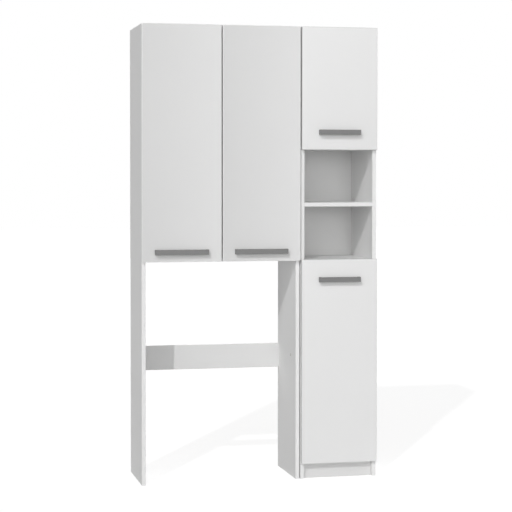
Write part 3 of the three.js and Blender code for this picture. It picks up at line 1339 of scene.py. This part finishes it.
@dataclass
class Hinge:
    """A concealed hinge: the cup in the door, the arm on the side panel and the bent lever between them.

    It is drawn for a door that hangs on the left, with X from the outer face of the side panel, Y from the
    carcass front and Z from the hinge's middle.

    Attributes:
        door: start of the names of the door's nodes.
        place: where the door carries it.
        panel: node of the side panel that carries the arm.
        hand: the side on which the door hangs.
        cup_radius: radius of the cup.
        cup_depth: how deep it goes into the door.
        cup_wall: thickness of its sheet.
        cup_from_side: distance of its middle from the side panel's outer face.
        cup_sides: flats round it.
        cheek_thickness: thickness of each cheek beside the lever.
        cheek_length: length of the cheeks across the cup.
        cheek_below_mouth: how far they stay below the door's face.
        flange: thickness of the rim and the wings on the door.
        flange_rim: how far the rim reaches past the cup.
        wing_length: length of both wings together.
        wing_width: width of the wings.
        wing_offset: distance of their middle line from the cup's middle.
        wing_screw: distance of their screws from the cup's middle.
        plate_length: height of the mounting plate.
        plate_depth: its size from front to rear.
        plate_setback: distance of its front from the carcass front.
        plate_thickness: its thickness.
        plate_corner: radius of its corners.
        plate_corner_steps: faces round each corner.
        plate_screw: distance of its screws from its middle.
        arm_width: width of the arm.
        arm_thickness: its thickness.
        arm_end: distance of its rear end from the carcass front.
        arm_cheek: thickness of its two cheeks beside the lever.
        pocket_depth: depth of the pressed pocket in the arm.
        pocket_width: its width.
        pocket_ends: where it starts and ends.
        pocket_screws: where the two setting screws stand in it.
        nose_radius: radius of the arm's front end.
        pin_radius: radius of the pin.
        pin_sides: flats round the pin.
        lever_half: half the thickness of the lever.
        eye_radius: radius of the lever's eye round the pin.
        tip_radius: radius of its far end.
        fit: clearance between pieces that move.
        rounding: rounding along pressed edges.
        curve_steps: faces along each curve.
        pin_shares: place of the pin, as shares of the cup's radius and depth.
        tip_shares: place of the lever's far end, in the same way.
        bend_shares: places that pull the lever into its bend, in the same way.
    """

    door: str
    place: HingePlace
    panel: str
    hand: Hand
    cup_radius: float = 0.0175
    cup_depth: float = 0.012
    cup_wall: float = 0.001
    cup_from_side: float = 0.022
    cup_sides: int = 56
    cheek_thickness: float = 0.0015
    cheek_length: float = 0.010
    cheek_below_mouth: float = 0.0005
    flange: float = 0.001
    flange_rim: float = 0.0005
    wing_length: float = 0.064
    wing_width: float = 0.015
    wing_offset: float = 0.006
    wing_screw: float = 0.024
    plate_length: float = 0.052
    plate_depth: float = 0.034
    plate_setback: float = 0.022
    plate_thickness: float = 0.0025
    plate_corner: float = 0.006
    plate_corner_steps: int = 5
    plate_screw: float = 0.019
    arm_width: float = 0.013
    arm_thickness: float = 0.008
    arm_end: float = 0.060
    arm_cheek: float = 0.002
    pocket_depth: float = 0.0012
    pocket_width: float = 0.0075
    pocket_ends: tuple[float, float] = (0.029, 0.057)
    pocket_screws: tuple[float, float] = (0.0345, 0.0515)
    nose_radius: float = 0.0038
    pin_radius: float = 0.002
    pin_sides: int = 24
    lever_half: float = 0.0015
    eye_radius: float = 0.0036
    tip_radius: float = 0.002
    fit: float = 0.0003
    rounding: float = 0.0004
    curve_steps: int = 20
    pin_shares: tuple[float, float] = (0.57, 0.27)
    tip_shares: tuple[float, float] = (-0.49, 0.21)
    bend_shares: tuple[tuple[float, float], ...] = ((0.35, 0.58), (-0.26, 0.92))

    def __post_init__(self) -> None:
        """Finds the hinge's place and the places of its pivots."""
        self.node = f"{self.door}_hinge_{self.place.value}"
        panel_low, panel_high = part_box(self.panel)
        cup_low, cup_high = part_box(f"{self.node}_cup")
        left = self.hand is Hand.LEFT
        outer = panel_low.x if left else panel_high.x
        self.door_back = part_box(f"{self.door}_door")[1].y - panel_low.y
        middle = Vector((outer, panel_low.y, (cup_low.z + cup_high.z) / 2))
        self.seat = Matrix.Translation(middle) @ Matrix.Diagonal((self.hand, 1.0, 1.0, 1.0))
        self.pin = self.in_cup(self.pin_shares)
        self.tip = self.in_cup(self.tip_shares)
        self.lever_width = self.arm_width - 2 * self.arm_cheek - 2 * self.fit

    def in_cup(self, shares: Place) -> Vector:
        """Finds a place in the cup.

        Args:
            shares: share of the cup's radius across, and of its depth down from the door's face.

        Returns:
            The place in X and Y.
        """
        across, down = shares
        x = self.cup_from_side + across * self.cup_radius
        y = self.door_back - down * self.cup_depth
        return Vector((x, y))

    def build(self) -> None:
        """Builds the three pieces."""
        for part, solid, body in (
            ("cup", self.cup(), f"{self.door}_door"),
            ("arm", self.arm(), FIXED_BODY),
            ("lever", self.lever(), f"{self.door}_levers"),
        ):
            node = f"{self.node}_{part}"
            solid.moved(self.seat).piece(f"{node}_pressing", HINGE_FINISHES, body, "hinge_steel", [node])

    def cup(self) -> Solid:
        """Makes the pressed cup with its screwed wings and the two cheeks that guide the lever.

        Returns:
            The cup as it lies on a door hung on the left.
        """
        bottom = self.door_back - self.cup_depth
        top = self.door_back + self.flange
        seat = self.door_back + self.fit
        inner = self.cup_radius - self.cup_wall
        rim = self.cup_radius + self.flange_rim
        profile = [
            (0.0, bottom), (self.cup_radius, bottom), (self.cup_radius, seat), (rim, seat), (rim, top),
            (inner, top), (inner, bottom + self.cup_wall), (0.0, bottom + self.cup_wall),
        ]
        centre = (self.cup_from_side, 0.0)
        cup = Solid.turned(profile, self.cup_sides, Plane.XZ, centre)
        wings = Solid.prism(self.wing_outline(), seat, top, Plane.XZ)
        mouth = Solid.rod(inner, seat - self.flange, top + self.flange, self.cup_sides, Plane.XZ, centre)
        cup.mixed(wings.mixed(mouth, Mix.CUT), Mix.JOIN)
        cup.softened(self.rounding / 2)
        for side in (-1, 1):
            near = side * (self.lever_width / 2 + self.fit)
            far = near + side * self.cheek_thickness
            half = self.cheek_length / 2
            cheek = Solid.block(
                Vector((self.tip.x - half, bottom + self.cup_wall / 2, min(near, far))),
                Vector((self.tip.x + half, self.door_back - self.cheek_below_mouth, max(near, far))),
            )
            cup.held(cheek.softened(self.rounding))
            place = Vector((self.cup_from_side + self.wing_offset, top, side * self.wing_screw))
            cup.held(CUP_SCREW.solid(place, Side.REAR.normal()))
        return cup

    def wing_outline(self) -> list[Place]:
        """Draws both wings as one long shape with round ends.

        Returns:
            The outline's places in X and Z.
        """
        middle = self.cup_from_side + self.wing_offset
        radius = self.wing_width / 2
        straight = self.wing_length / 2 - radius
        upper = arc((middle, straight), radius, 0, 180, self.curve_steps)
        lower = arc((middle, -straight), radius, 180, 360, self.curve_steps)
        return upper + lower

    def arm(self) -> Solid:
        """Makes the arm, its mounting plate, its screws and the pin that the lever turns on.

        Returns:
            The arm as it lies on a left side panel.
        """
        under = BOARD_THICKNESS + self.plate_thickness
        over = under + self.arm_thickness
        pin = self.pin
        shoulder = self.arm_end - self.plate_depth
        nose = arc(pin, self.nose_radius, 180, 360, self.curve_steps)
        embedded = under - self.plate_thickness / 2
        outline = [
            (embedded, self.arm_end), (embedded, shoulder - self.arm_thickness),
            (nose[0][0], self.arm_thickness / 2), *nose, (nose[-1][0], self.arm_thickness / 2),
            (over, shoulder), (over, self.arm_end),
        ]
        half = self.arm_width / 2
        arm = Solid.prism(outline, -half, half).softened(self.rounding * 2, steps=3)
        slot_half = half - self.arm_cheek
        slot_end = pin.y + self.eye_radius + self.fit
        slot = Solid.block(
            Vector((pin.x - 2 * self.cup_radius, pin.y - self.cup_depth, -slot_half)),
            Vector((pin.x + 2 * self.nose_radius, slot_end, slot_half)),
        )
        arm.mixed(slot, Mix.CUT)
        pocket_half = self.pocket_width / 2
        near, far = self.pocket_ends
        pocket = Solid.block(
            Vector((over - self.pocket_depth, near, -pocket_half)), Vector((over + half, far, pocket_half))
        )
        arm.mixed(pocket.softened(self.rounding, steps=1), Mix.CUT)
        plate = Solid.prism(self.plate_outline(), BOARD_THICKNESS, under, Plane.YZ)
        arm.mixed(plate.softened(self.rounding), Mix.JOIN)
        arm.held(Solid.rod(self.pin_radius, -half, half, self.pin_sides, Plane.XY, tuple(pin)))
        outward = Side.RIGHT.normal()
        for depth in self.pocket_screws:
            place = Vector((over - self.pocket_depth, depth, 0.0))
            arm.held(ARM_SCREW.solid(place, outward))
        for side in (-1, 1):
            place = Vector((under, self.plate_setback + self.plate_depth / 2, side * self.plate_screw))
            arm.held(PLATE_SCREW.solid(place, outward))
        return arm

    def plate_outline(self) -> list[Place]:
        """Draws the mounting plate with round corners.

        Returns:
            The outline's places in Y and Z.
        """
        near = self.plate_setback
        far = near + self.plate_depth
        half = self.plate_length / 2
        radius = self.plate_corner
        corners = ((far - radius, half - radius, 0), (near + radius, half - radius, 90),
                   (near + radius, radius - half, 180), (far - radius, radius - half, 270))
        return [
            place for depth, level, start in corners
            for place in arc((depth, level), radius, start, start + 90, self.plate_corner_steps)
        ]

    def lever(self) -> Solid:
        """Makes the bent lever between the arm's pin and the cup.

        Returns:
            The lever with its eye round the pin, for a door hung on the left.
        """
        first, second = (self.in_cup(shares) for shares in self.bend_shares)
        left, right = [], []
        for step in range(self.curve_steps + 1):
            t = step / self.curve_steps
            s = 1 - t
            point = s**3 * self.pin + 3 * s * s * t * first + 3 * s * t * t * second + t**3 * self.tip
            along = s * s * (first - self.pin) + 2 * s * t * (second - first) + t * t * (self.tip - second)
            across = Vector((-along.y, along.x)).normalized() * self.lever_half
            left.append(tuple(point + across))
            right.append(tuple(point - across))
        half = self.lever_width / 2
        strip = Solid.prism([*left, *reversed(right)], -half, half)
        pin = tuple(self.pin)
        eye = Solid.rod(self.eye_radius, -half, half, self.pin_sides * 2, Plane.XY, pin)
        tip = Solid.rod(self.tip_radius, -half, half, self.pin_sides, Plane.XY, tuple(self.tip))
        bore = self.pin_radius + self.fit
        hole = Solid.rod(bore, -self.arm_width, self.arm_width, self.pin_sides, Plane.XY, pin)
        lever = strip.mixed(eye, Mix.JOIN).mixed(tip, Mix.JOIN).mixed(hole, Mix.CUT)
        return lever.softened(self.rounding / 2, steps=1)


@dataclass
class HungDoor:
    """A door with its bow handle and its two hinges.

    Attributes:
        name: start of the names of its nodes.
        panel: node of the side panel that it hangs on.
        hand: the side on which it hangs.
        coating: the finish of its faces.
        edging: the finish of its edge bands.
        edge_radius: rounding along its edges.
        edge_steps: faces across that rounding.
        band: thickness of its edge bands.
        bore_fit: clearance round a hinge cup.
        bar_thickness: thickness of the handle's bar.
        leg_width: width of each of the handle's legs.
        corner: rounding of the bar's front corners, seen from above.
        corner_steps: faces round each of them.
        bar_edge: rounding along the handle's edges.
    """

    name: str
    panel: str
    hand: Hand
    coating: Finish
    edging: Finish
    edge_radius: float = 0.0012
    edge_steps: int = 4
    band: float = 0.0020
    bore_fit: float = 0.0002
    bar_thickness: float = 0.006
    leg_width: float = 0.010
    corner: float = 0.0015
    corner_steps: int = 6
    bar_edge: float = 0.0007

    def __post_init__(self) -> None:
        """Draws up the two hinges."""
        self.hinges = [Hinge(self.name, place, self.panel, self.hand) for place in HingePlace]

    def build(self) -> None:
        """Builds the leaf, the handle with its screws, and the hinges."""
        self.leaf()
        self.handle()
        for hinge in self.hinges:
            hinge.build()

    def leaf(self) -> None:
        """Builds the door itself, banded all round and bored for its hinge cups."""
        body = f"{self.name}_door"
        low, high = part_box(body)
        edges = (Side.LEFT, Side.RIGHT, Side.BOTTOM, Side.TOP)
        leaf = BoardStock(self.edge_radius, self.edge_steps, self.band).cut(low, high, edges)
        bores = Solid()
        for hinge in self.hinges:
            centre = hinge.seat @ Vector((hinge.cup_from_side, 0.0, 0.0))
            ends = (high.y - hinge.cup_depth - self.bore_fit, high.y + hinge.cup_depth)
            radius = hinge.cup_radius + self.bore_fit
            bores.held(Solid.rod(radius, *ends, hinge.cup_sides, Plane.XZ, (centre.x, centre.z)))
        leaf.mixed(bores.painted(Layer.RAW), Mix.CUT)
        leaf.piece(f"{self.name}_door_leaf", (self.coating, self.edging, RAW), body, "white_door", [body])

    def handle(self) -> None:
        """Builds the bow handle, and its two screws on the door's inner face."""
        node = f"{self.name}_handle"
        body = f"{self.name}_door"
        low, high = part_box(node)
        behind = low.y + self.bar_thickness
        left = low.x + self.leg_width
        right = high.x - self.leg_width
        front = low.y + self.corner
        outline = [
            *arc((low.x + self.corner, front), self.corner, 180, 270, self.corner_steps),
            *arc((high.x - self.corner, front), self.corner, 270, 360, self.corner_steps),
            (high.x, high.y), (right, high.y), (right, behind),
            (left, behind), (left, high.y), (low.x, high.y),
        ]
        bar = Solid.prism(outline, low.z, high.z).softened(self.bar_edge, steps=3)
        bar.piece(f"{self.name}_handle_bar", (GREY,), body, "grey_handle", [node])
        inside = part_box(body)[1].y
        screws = Solid()
        for across in (low.x + self.leg_width / 2, high.x - self.leg_width / 2):
            place = Vector((across, inside, (low.z + high.z) / 2))
            screws.held(HANDLE_SCREW.solid(place, Side.REAR.normal(), Metal.BODY))
        screws.piece(f"{self.name}_handle_screws", (ZINC,), body, "hinge_steel")


@dataclass
class Fittings:
    """The steel angles under the tops and the bolts between the modules.

    Attributes:
        thickness: thickness of an angle.
        bend: rounding of its bend and corners.
        bolt_sides: flats round a bolt's head.
        socket: radius of the key's socket in a bolt's head.
        socket_depth: depth of that socket.
        socket_sides: flats round that socket.
        sleeve: radius of a bolt's sleeve.
        head: thickness of a bolt's head.
        dome_shares: points of the head's dome, as shares of its radius and its thickness.
        spacer_fit: clearance between a bolt's spacer and the panels beside it.
        spacer_edge: rounding of the spacer's rims.
    """

    thickness: float = 0.002
    bend: float = 0.0014
    bolt_sides: int = 40
    socket: float = 0.0021
    socket_depth: float = 0.001
    socket_sides: int = 6
    sleeve: float = 0.0025
    head: float = 0.0015
    dome_shares: tuple[Place, ...] = ((1.0, 0.45), (0.92, 0.84), (0.75, 1.0))
    spacer_fit: float = 0.0003
    spacer_edge: float = 0.0003

    def build(self) -> None:
        """Builds the angles and the bolts."""
        for node in sorted(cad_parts):
            if node.startswith("wall_bracket"):
                self.bracket(node)
        for node in bolt_nodes():
            self.bolt(node)

    def bracket(self, node: str) -> None:
        """Builds an angle with a screw in each leg.

        Args:
            node: the solid that it stands for.
        """
        low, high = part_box(node)
        under = high.z - self.thickness
        front = high.y - self.thickness
        outline = [
            (high.y, high.z), (low.y, high.z), (low.y, under),
            (front, under), (front, low.z), (high.y, low.z),
        ]
        angle = Solid.prism(outline, low.x, high.x, Plane.YZ).softened(self.bend / 2, steps=3)
        middle = (low.x + high.x) / 2
        up = Vector((middle, (low.y + high.y) / 2, under))
        rear = Vector((middle, front, (low.z + high.z) / 2))
        angle.held(TOP_SCREW.solid(up, Side.BOTTOM.normal()))
        angle.held(WALL_SCREW.solid(rear, Side.FRONT.normal()))
        angle.piece(f"{node}_angle", BRACKET_FINISHES, FIXED_BODY, "bracket_steel", [node])

    def bolt(self, node: str) -> None:
        """Builds a sleeve bolt: a domed head with a socket at each end, and a spacer in the middle.

        Args:
            node: the solid that it stands for.
        """
        low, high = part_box(node)
        radius = (high.z - low.z) / 2
        end = (high.x - low.x) / 2
        seat = end - self.head
        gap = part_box("column_left_side")[0].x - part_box("main_right_side")[1].x
        spacer = gap / 2 - self.spacer_fit
        edge = self.spacer_edge
        rim = [(radius, spacer - edge), (radius - edge, spacer), (self.sleeve, spacer)]
        dome = [(radius * across, seat + self.head * up) for across, up in self.dome_shares]
        half = [*rim, (self.sleeve, seat), (radius, seat), *dome, (0.0, end)]
        profile = [*((r, -z) for r, z in reversed(half)), *half]
        bolt = Solid.turned(profile, self.bolt_sides, Plane.YZ)
        key = arc((0.0, 0.0), self.socket, 0, 360, self.socket_sides)[:-1]
        for way in (-1, 1):
            ends = sorted((way * (end - self.socket_depth), way * (end + self.head)))
            bolt.mixed(Solid.prism(key, *ends, Plane.YZ), Mix.CUT)
        bolt.moved(Matrix.Translation((low + high) / 2))
        bolt.piece(f"{node}_sleeve", (NICKEL,), FIXED_BODY, "hinge_steel", [node])


@dataclass(frozen=True)
class Lamp:
    """A distant soft lamp.

    Attributes:
        name: its name.
        towards: direction from the object towards it.
        width: its width as the object sees it, in degrees.
        power: light that it sends to a face square to it, in watts a square metre.
        distance: where it is drawn.
    """

    name: str
    towards: tuple[float, float, float]
    width: float
    power: float
    distance: float = 7.0

    def hang(self) -> None:
        """Puts the lamp into the scene."""
        towards = Vector(self.towards).normalized()
        light = bpy.data.lights.new(self.name, "SUN")
        light.angle = math.radians(self.width)
        light.energy = self.power
        lamp = bpy.data.objects.new(self.name, light)
        lamp.location = towards * self.distance
        lamp.rotation_euler = towards.to_track_quat("Z", "Y").to_euler()
        bpy.context.scene.collection.objects.link(lamp)


KEY_LAMP = Lamp("key_lamp", (-0.410, -0.707, 0.568), 1.0, 1.08)
LEVEL_LAMP = Lamp("level_lamp", (0.0, -1.0, 0.0), 30.0, 0.80)
BROAD_LAMP = Lamp("broad_lamp", (0.0, -1.0, 0.15), 110.0, 0.80)
LEFT_LAMP = Lamp("left_lamp", (-0.75, -0.8, 0.15), 60.0, 0.76)
REAR_LAMP = Lamp("rear_lamp", (0.6, 0.75, 0.4), 80.0, 1.30)
RIGHT_LAMP = Lamp("right_lamp", (1.0, 0.0, 0.05), 20.0, 0.70)


@dataclass
class Studio:
    """The pale floor, the white surroundings, the lamps and the camera.

    Attributes:
        eye: place of the camera.
        tilt: angle of its view up from straight down, in degrees.
        turn: angle of its view from the Y axis, in degrees.
        lens: focal length in millimetres.
        shift: how far the picture is moved in its plane, as shares of its width.
        lamps: the sharp lamp from high on the left, and the soft ones on all sides.
        fill: strength of the white light from all round.
        shown: strength of the white that the camera sees there.
        floor_size: width of the floor.
        floor_tone: the floor's own colour, as linear light.
        floor_shown: how much of that colour the camera sees.
        floor_glow: white that the camera sees with it.
        floor_grain: grains in a metre of the floor.
        floor_drift: how much darker the darkest grains are, as a share.
    """

    eye: tuple[float, float, float] = (-1.4022, -6.0781, 1.2105)
    tilt: float = 88.54
    turn: float = -12.5101
    lens: float = 107.856
    shift: tuple[float, float] = (0.03017, -0.07588)
    lamps: tuple[Lamp, ...] = (KEY_LAMP, LEVEL_LAMP, BROAD_LAMP, LEFT_LAMP, REAR_LAMP, RIGHT_LAMP)
    fill: float = 0.02
    shown: float = 1.0
    floor_size: float = 60.0
    floor_tone: float = 0.8
    floor_shown: float = 0.35
    floor_glow: float = 0.84
    floor_grain: float = 60.0
    floor_drift: float = 0.01

    def build(self) -> None:
        """Builds the whole studio."""
        self.surroundings()
        self.floor()
        self.camera()
        for lamp in self.lamps:
            lamp.hang()

    def seen(self, tree: bpy.types.NodeTree) -> bpy.types.NodeSocket:
        """Adds a switch that is on for what the camera, a reflection or a clear piece sees.

        Args:
            tree: the node tree to write in.

        Returns:
            The switch, 0 or 1.
        """
        path = tree.nodes.new("ShaderNodeLightPath")
        switch = path.outputs["Is Camera Ray"]
        for name in ("Is Glossy Ray", "Is Transmission Ray"):
            larger = tree.nodes.new("ShaderNodeMath")
            larger.operation = "MAXIMUM"
            tree.links.new(switch, larger.inputs[0])
            tree.links.new(path.outputs[name], larger.inputs[1])
            switch = larger.outputs["Value"]
        return switch

    def surroundings(self) -> None:
        """Lights the object softly from all round and shows white."""
        world = bpy.data.worlds.new("studio")
        bpy.context.scene.world = world
        world.use_nodes = True
        tree = world.node_tree
        tree.nodes.clear()
        mix = tree.nodes.new("ShaderNodeMixShader")
        tree.links.new(self.seen(tree), mix.inputs[0])
        for place, strength in ((1, self.fill), (2, self.shown)):
            white = tree.nodes.new("ShaderNodeBackground")
            white.inputs["Color"].default_value = WHITE
            white.inputs["Strength"].default_value = strength
            tree.links.new(white.outputs[0], mix.inputs[place])
        output = tree.nodes.new("ShaderNodeOutputWorld")
        tree.links.new(mix.outputs[0], output.inputs["Surface"])

    def floor(self) -> None:
        """Lays a pale floor that shows white and keeps a light shadow."""
        half = self.floor_size / 2
        corners = [(-half, -half, 0.0), (half, -half, 0.0), (half, half, 0.0), (-half, half, 0.0)]
        mesh = bpy.data.meshes.new("floor")
        mesh.from_pydata(corners, [], [(0, 1, 2, 3)])
        ground = bpy.data.objects.new("floor", mesh)
        bpy.context.scene.collection.objects.link(ground)
        graph = Graph("pale_floor")
        tree = graph.tree
        tree.nodes.remove(graph.shader)
        seen = self.seen(tree)
        grain = graph.noise(self.floor_grain, detail=3.0)
        tone = graph.between(grain, self.floor_tone * (1 - self.floor_drift), self.floor_tone)
        share = graph.between(seen, 1.0, self.floor_shown / self.floor_tone, 0.0, 1.0)
        matt = graph.add("ShaderNodeBsdfDiffuse", Color=graph.product(tone, share))
        glow = graph.add("ShaderNodeEmission", Strength=graph.between(seen, 0.0, self.floor_glow, 0.0, 1.0))
        both = tree.nodes.new("ShaderNodeAddShader")
        tree.links.new(matt.outputs[0], both.inputs[0])
        tree.links.new(glow.outputs[0], both.inputs[1])
        tree.links.new(both.outputs[0], tree.nodes["Material Output"].inputs["Surface"])
        mesh.materials.append(graph.material)

    def camera(self) -> None:
        """Puts the camera where the photograph was taken from."""
        data = bpy.data.cameras.new("camera")
        data.lens = self.lens
        data.shift_x, data.shift_y = self.shift
        camera = bpy.data.objects.new("camera", data)
        camera.location = self.eye
        camera.rotation_euler = (math.radians(self.tilt), 0.0, math.radians(self.turn))
        bpy.context.scene.collection.objects.link(camera)
        bpy.context.scene.camera = camera


def main() -> None:
    """Builds the studio, the two modules, the doors and the fittings in order."""
    logging.basicConfig(level=logging.INFO, format="%(message)s")
    bpy.context.scene.view_settings.view_transform = "Standard"
    Studio().build()
    Carcass("main", ("main_top", "main_bottom"), ("main_rear_rail",), 2, "main_right_side").build()
    column_boards = ("column_top", "niche_top", "niche_shelf", "niche_floor", "column_bottom")
    Carcass("column", column_boards, ("column_plinth",), 3, "column_left_side").build()
    for door in (
        HungDoor("main_left", "main_left_side", Hand.LEFT, WIDE_DOOR, BAND),
        HungDoor("main_right", "main_right_side", Hand.RIGHT, WIDE_DOOR, BAND),
        HungDoor("column_upper", "column_right_side", Hand.RIGHT, COLUMN_DOOR, COLUMN_BAND_PAINTED_SHADE),
        HungDoor("column_lower", "column_right_side", Hand.RIGHT, COLUMN_DOOR, COLUMN_BAND_PAINTED_SHADE),
    ):
        door.build()
    Fittings().build()


if __name__ == "__main__":
    main()
